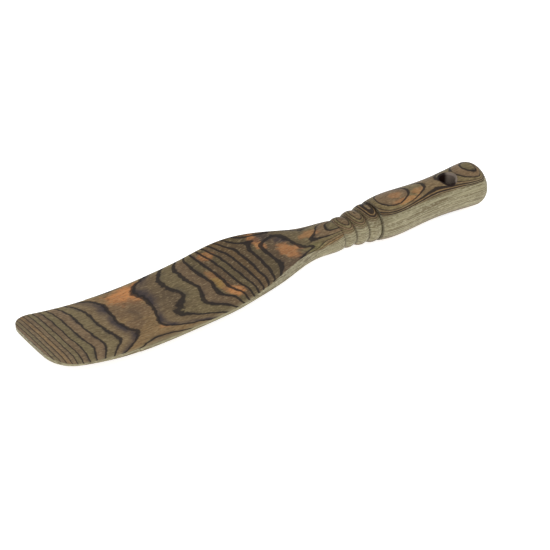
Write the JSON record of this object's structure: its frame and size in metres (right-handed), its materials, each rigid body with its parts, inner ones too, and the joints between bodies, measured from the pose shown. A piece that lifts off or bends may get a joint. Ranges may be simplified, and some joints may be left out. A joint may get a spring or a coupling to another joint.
{
  "type": "wood edge slicker",
  "caption": "Hand tool carved from glued dyed veneers: a wide thin dished paddle, a narrow neck with turned beads and an oval handle with a hanging hole near its flared butt.",
  "frame": {"origin": "middle of the bounding box in plan, at the height of the tool's lowest point, the underside of the butt", "axes": "+X from the paddle's end to the butt, +Z square to the veneers and up through the paddle's dished upper face, the paddle's width along Y"},
  "size_m": [0.254, 0.048, 0.0217],
  "materials": {
    "olive_veneer": "satin, sealed and buffed",
    "tan_veneer": "satin, sealed and buffed",
    "russet_veneer": "satin, sealed and buffed",
    "slate_veneer": "satin, sealed and buffed"
  },
  "bodies": {
    "root": {"veneer_01": "tan_veneer", "veneer_02": "slate_veneer", "veneer_03": "olive_veneer", "veneer_04": "tan_veneer", "veneer_05": "slate_veneer", "veneer_06": "olive_veneer", "veneer_07": "tan_veneer", "veneer_08": "slate_veneer", "veneer_09": "olive_veneer", "veneer_10": "tan_veneer", "veneer_11": "slate_veneer", "veneer_12": "olive_veneer", "veneer_13": "tan_veneer", "veneer_14": "slate_veneer", "veneer_15": "olive_veneer", "veneer_16": "tan_veneer", "veneer_17": "tan_veneer", "veneer_18": "olive_veneer", "veneer_19": "tan_veneer", "veneer_20": "slate_veneer", "veneer_21": "russet_veneer", "veneer_22": "tan_veneer", "veneer_23": "slate_veneer", "veneer_24": "olive_veneer", "veneer_25": "tan_veneer", "veneer_26": "slate_veneer", "veneer_27": "olive_veneer", "veneer_28": "russet_veneer", "veneer_29": "slate_veneer", "veneer_30": "olive_veneer", "veneer_31": "tan_veneer", "veneer_32": "slate_veneer", "veneer_33": "olive_veneer", "veneer_34": "tan_veneer", "veneer_35": "slate_veneer", "veneer_36": "olive_veneer"}
  },
  "joints": []
}
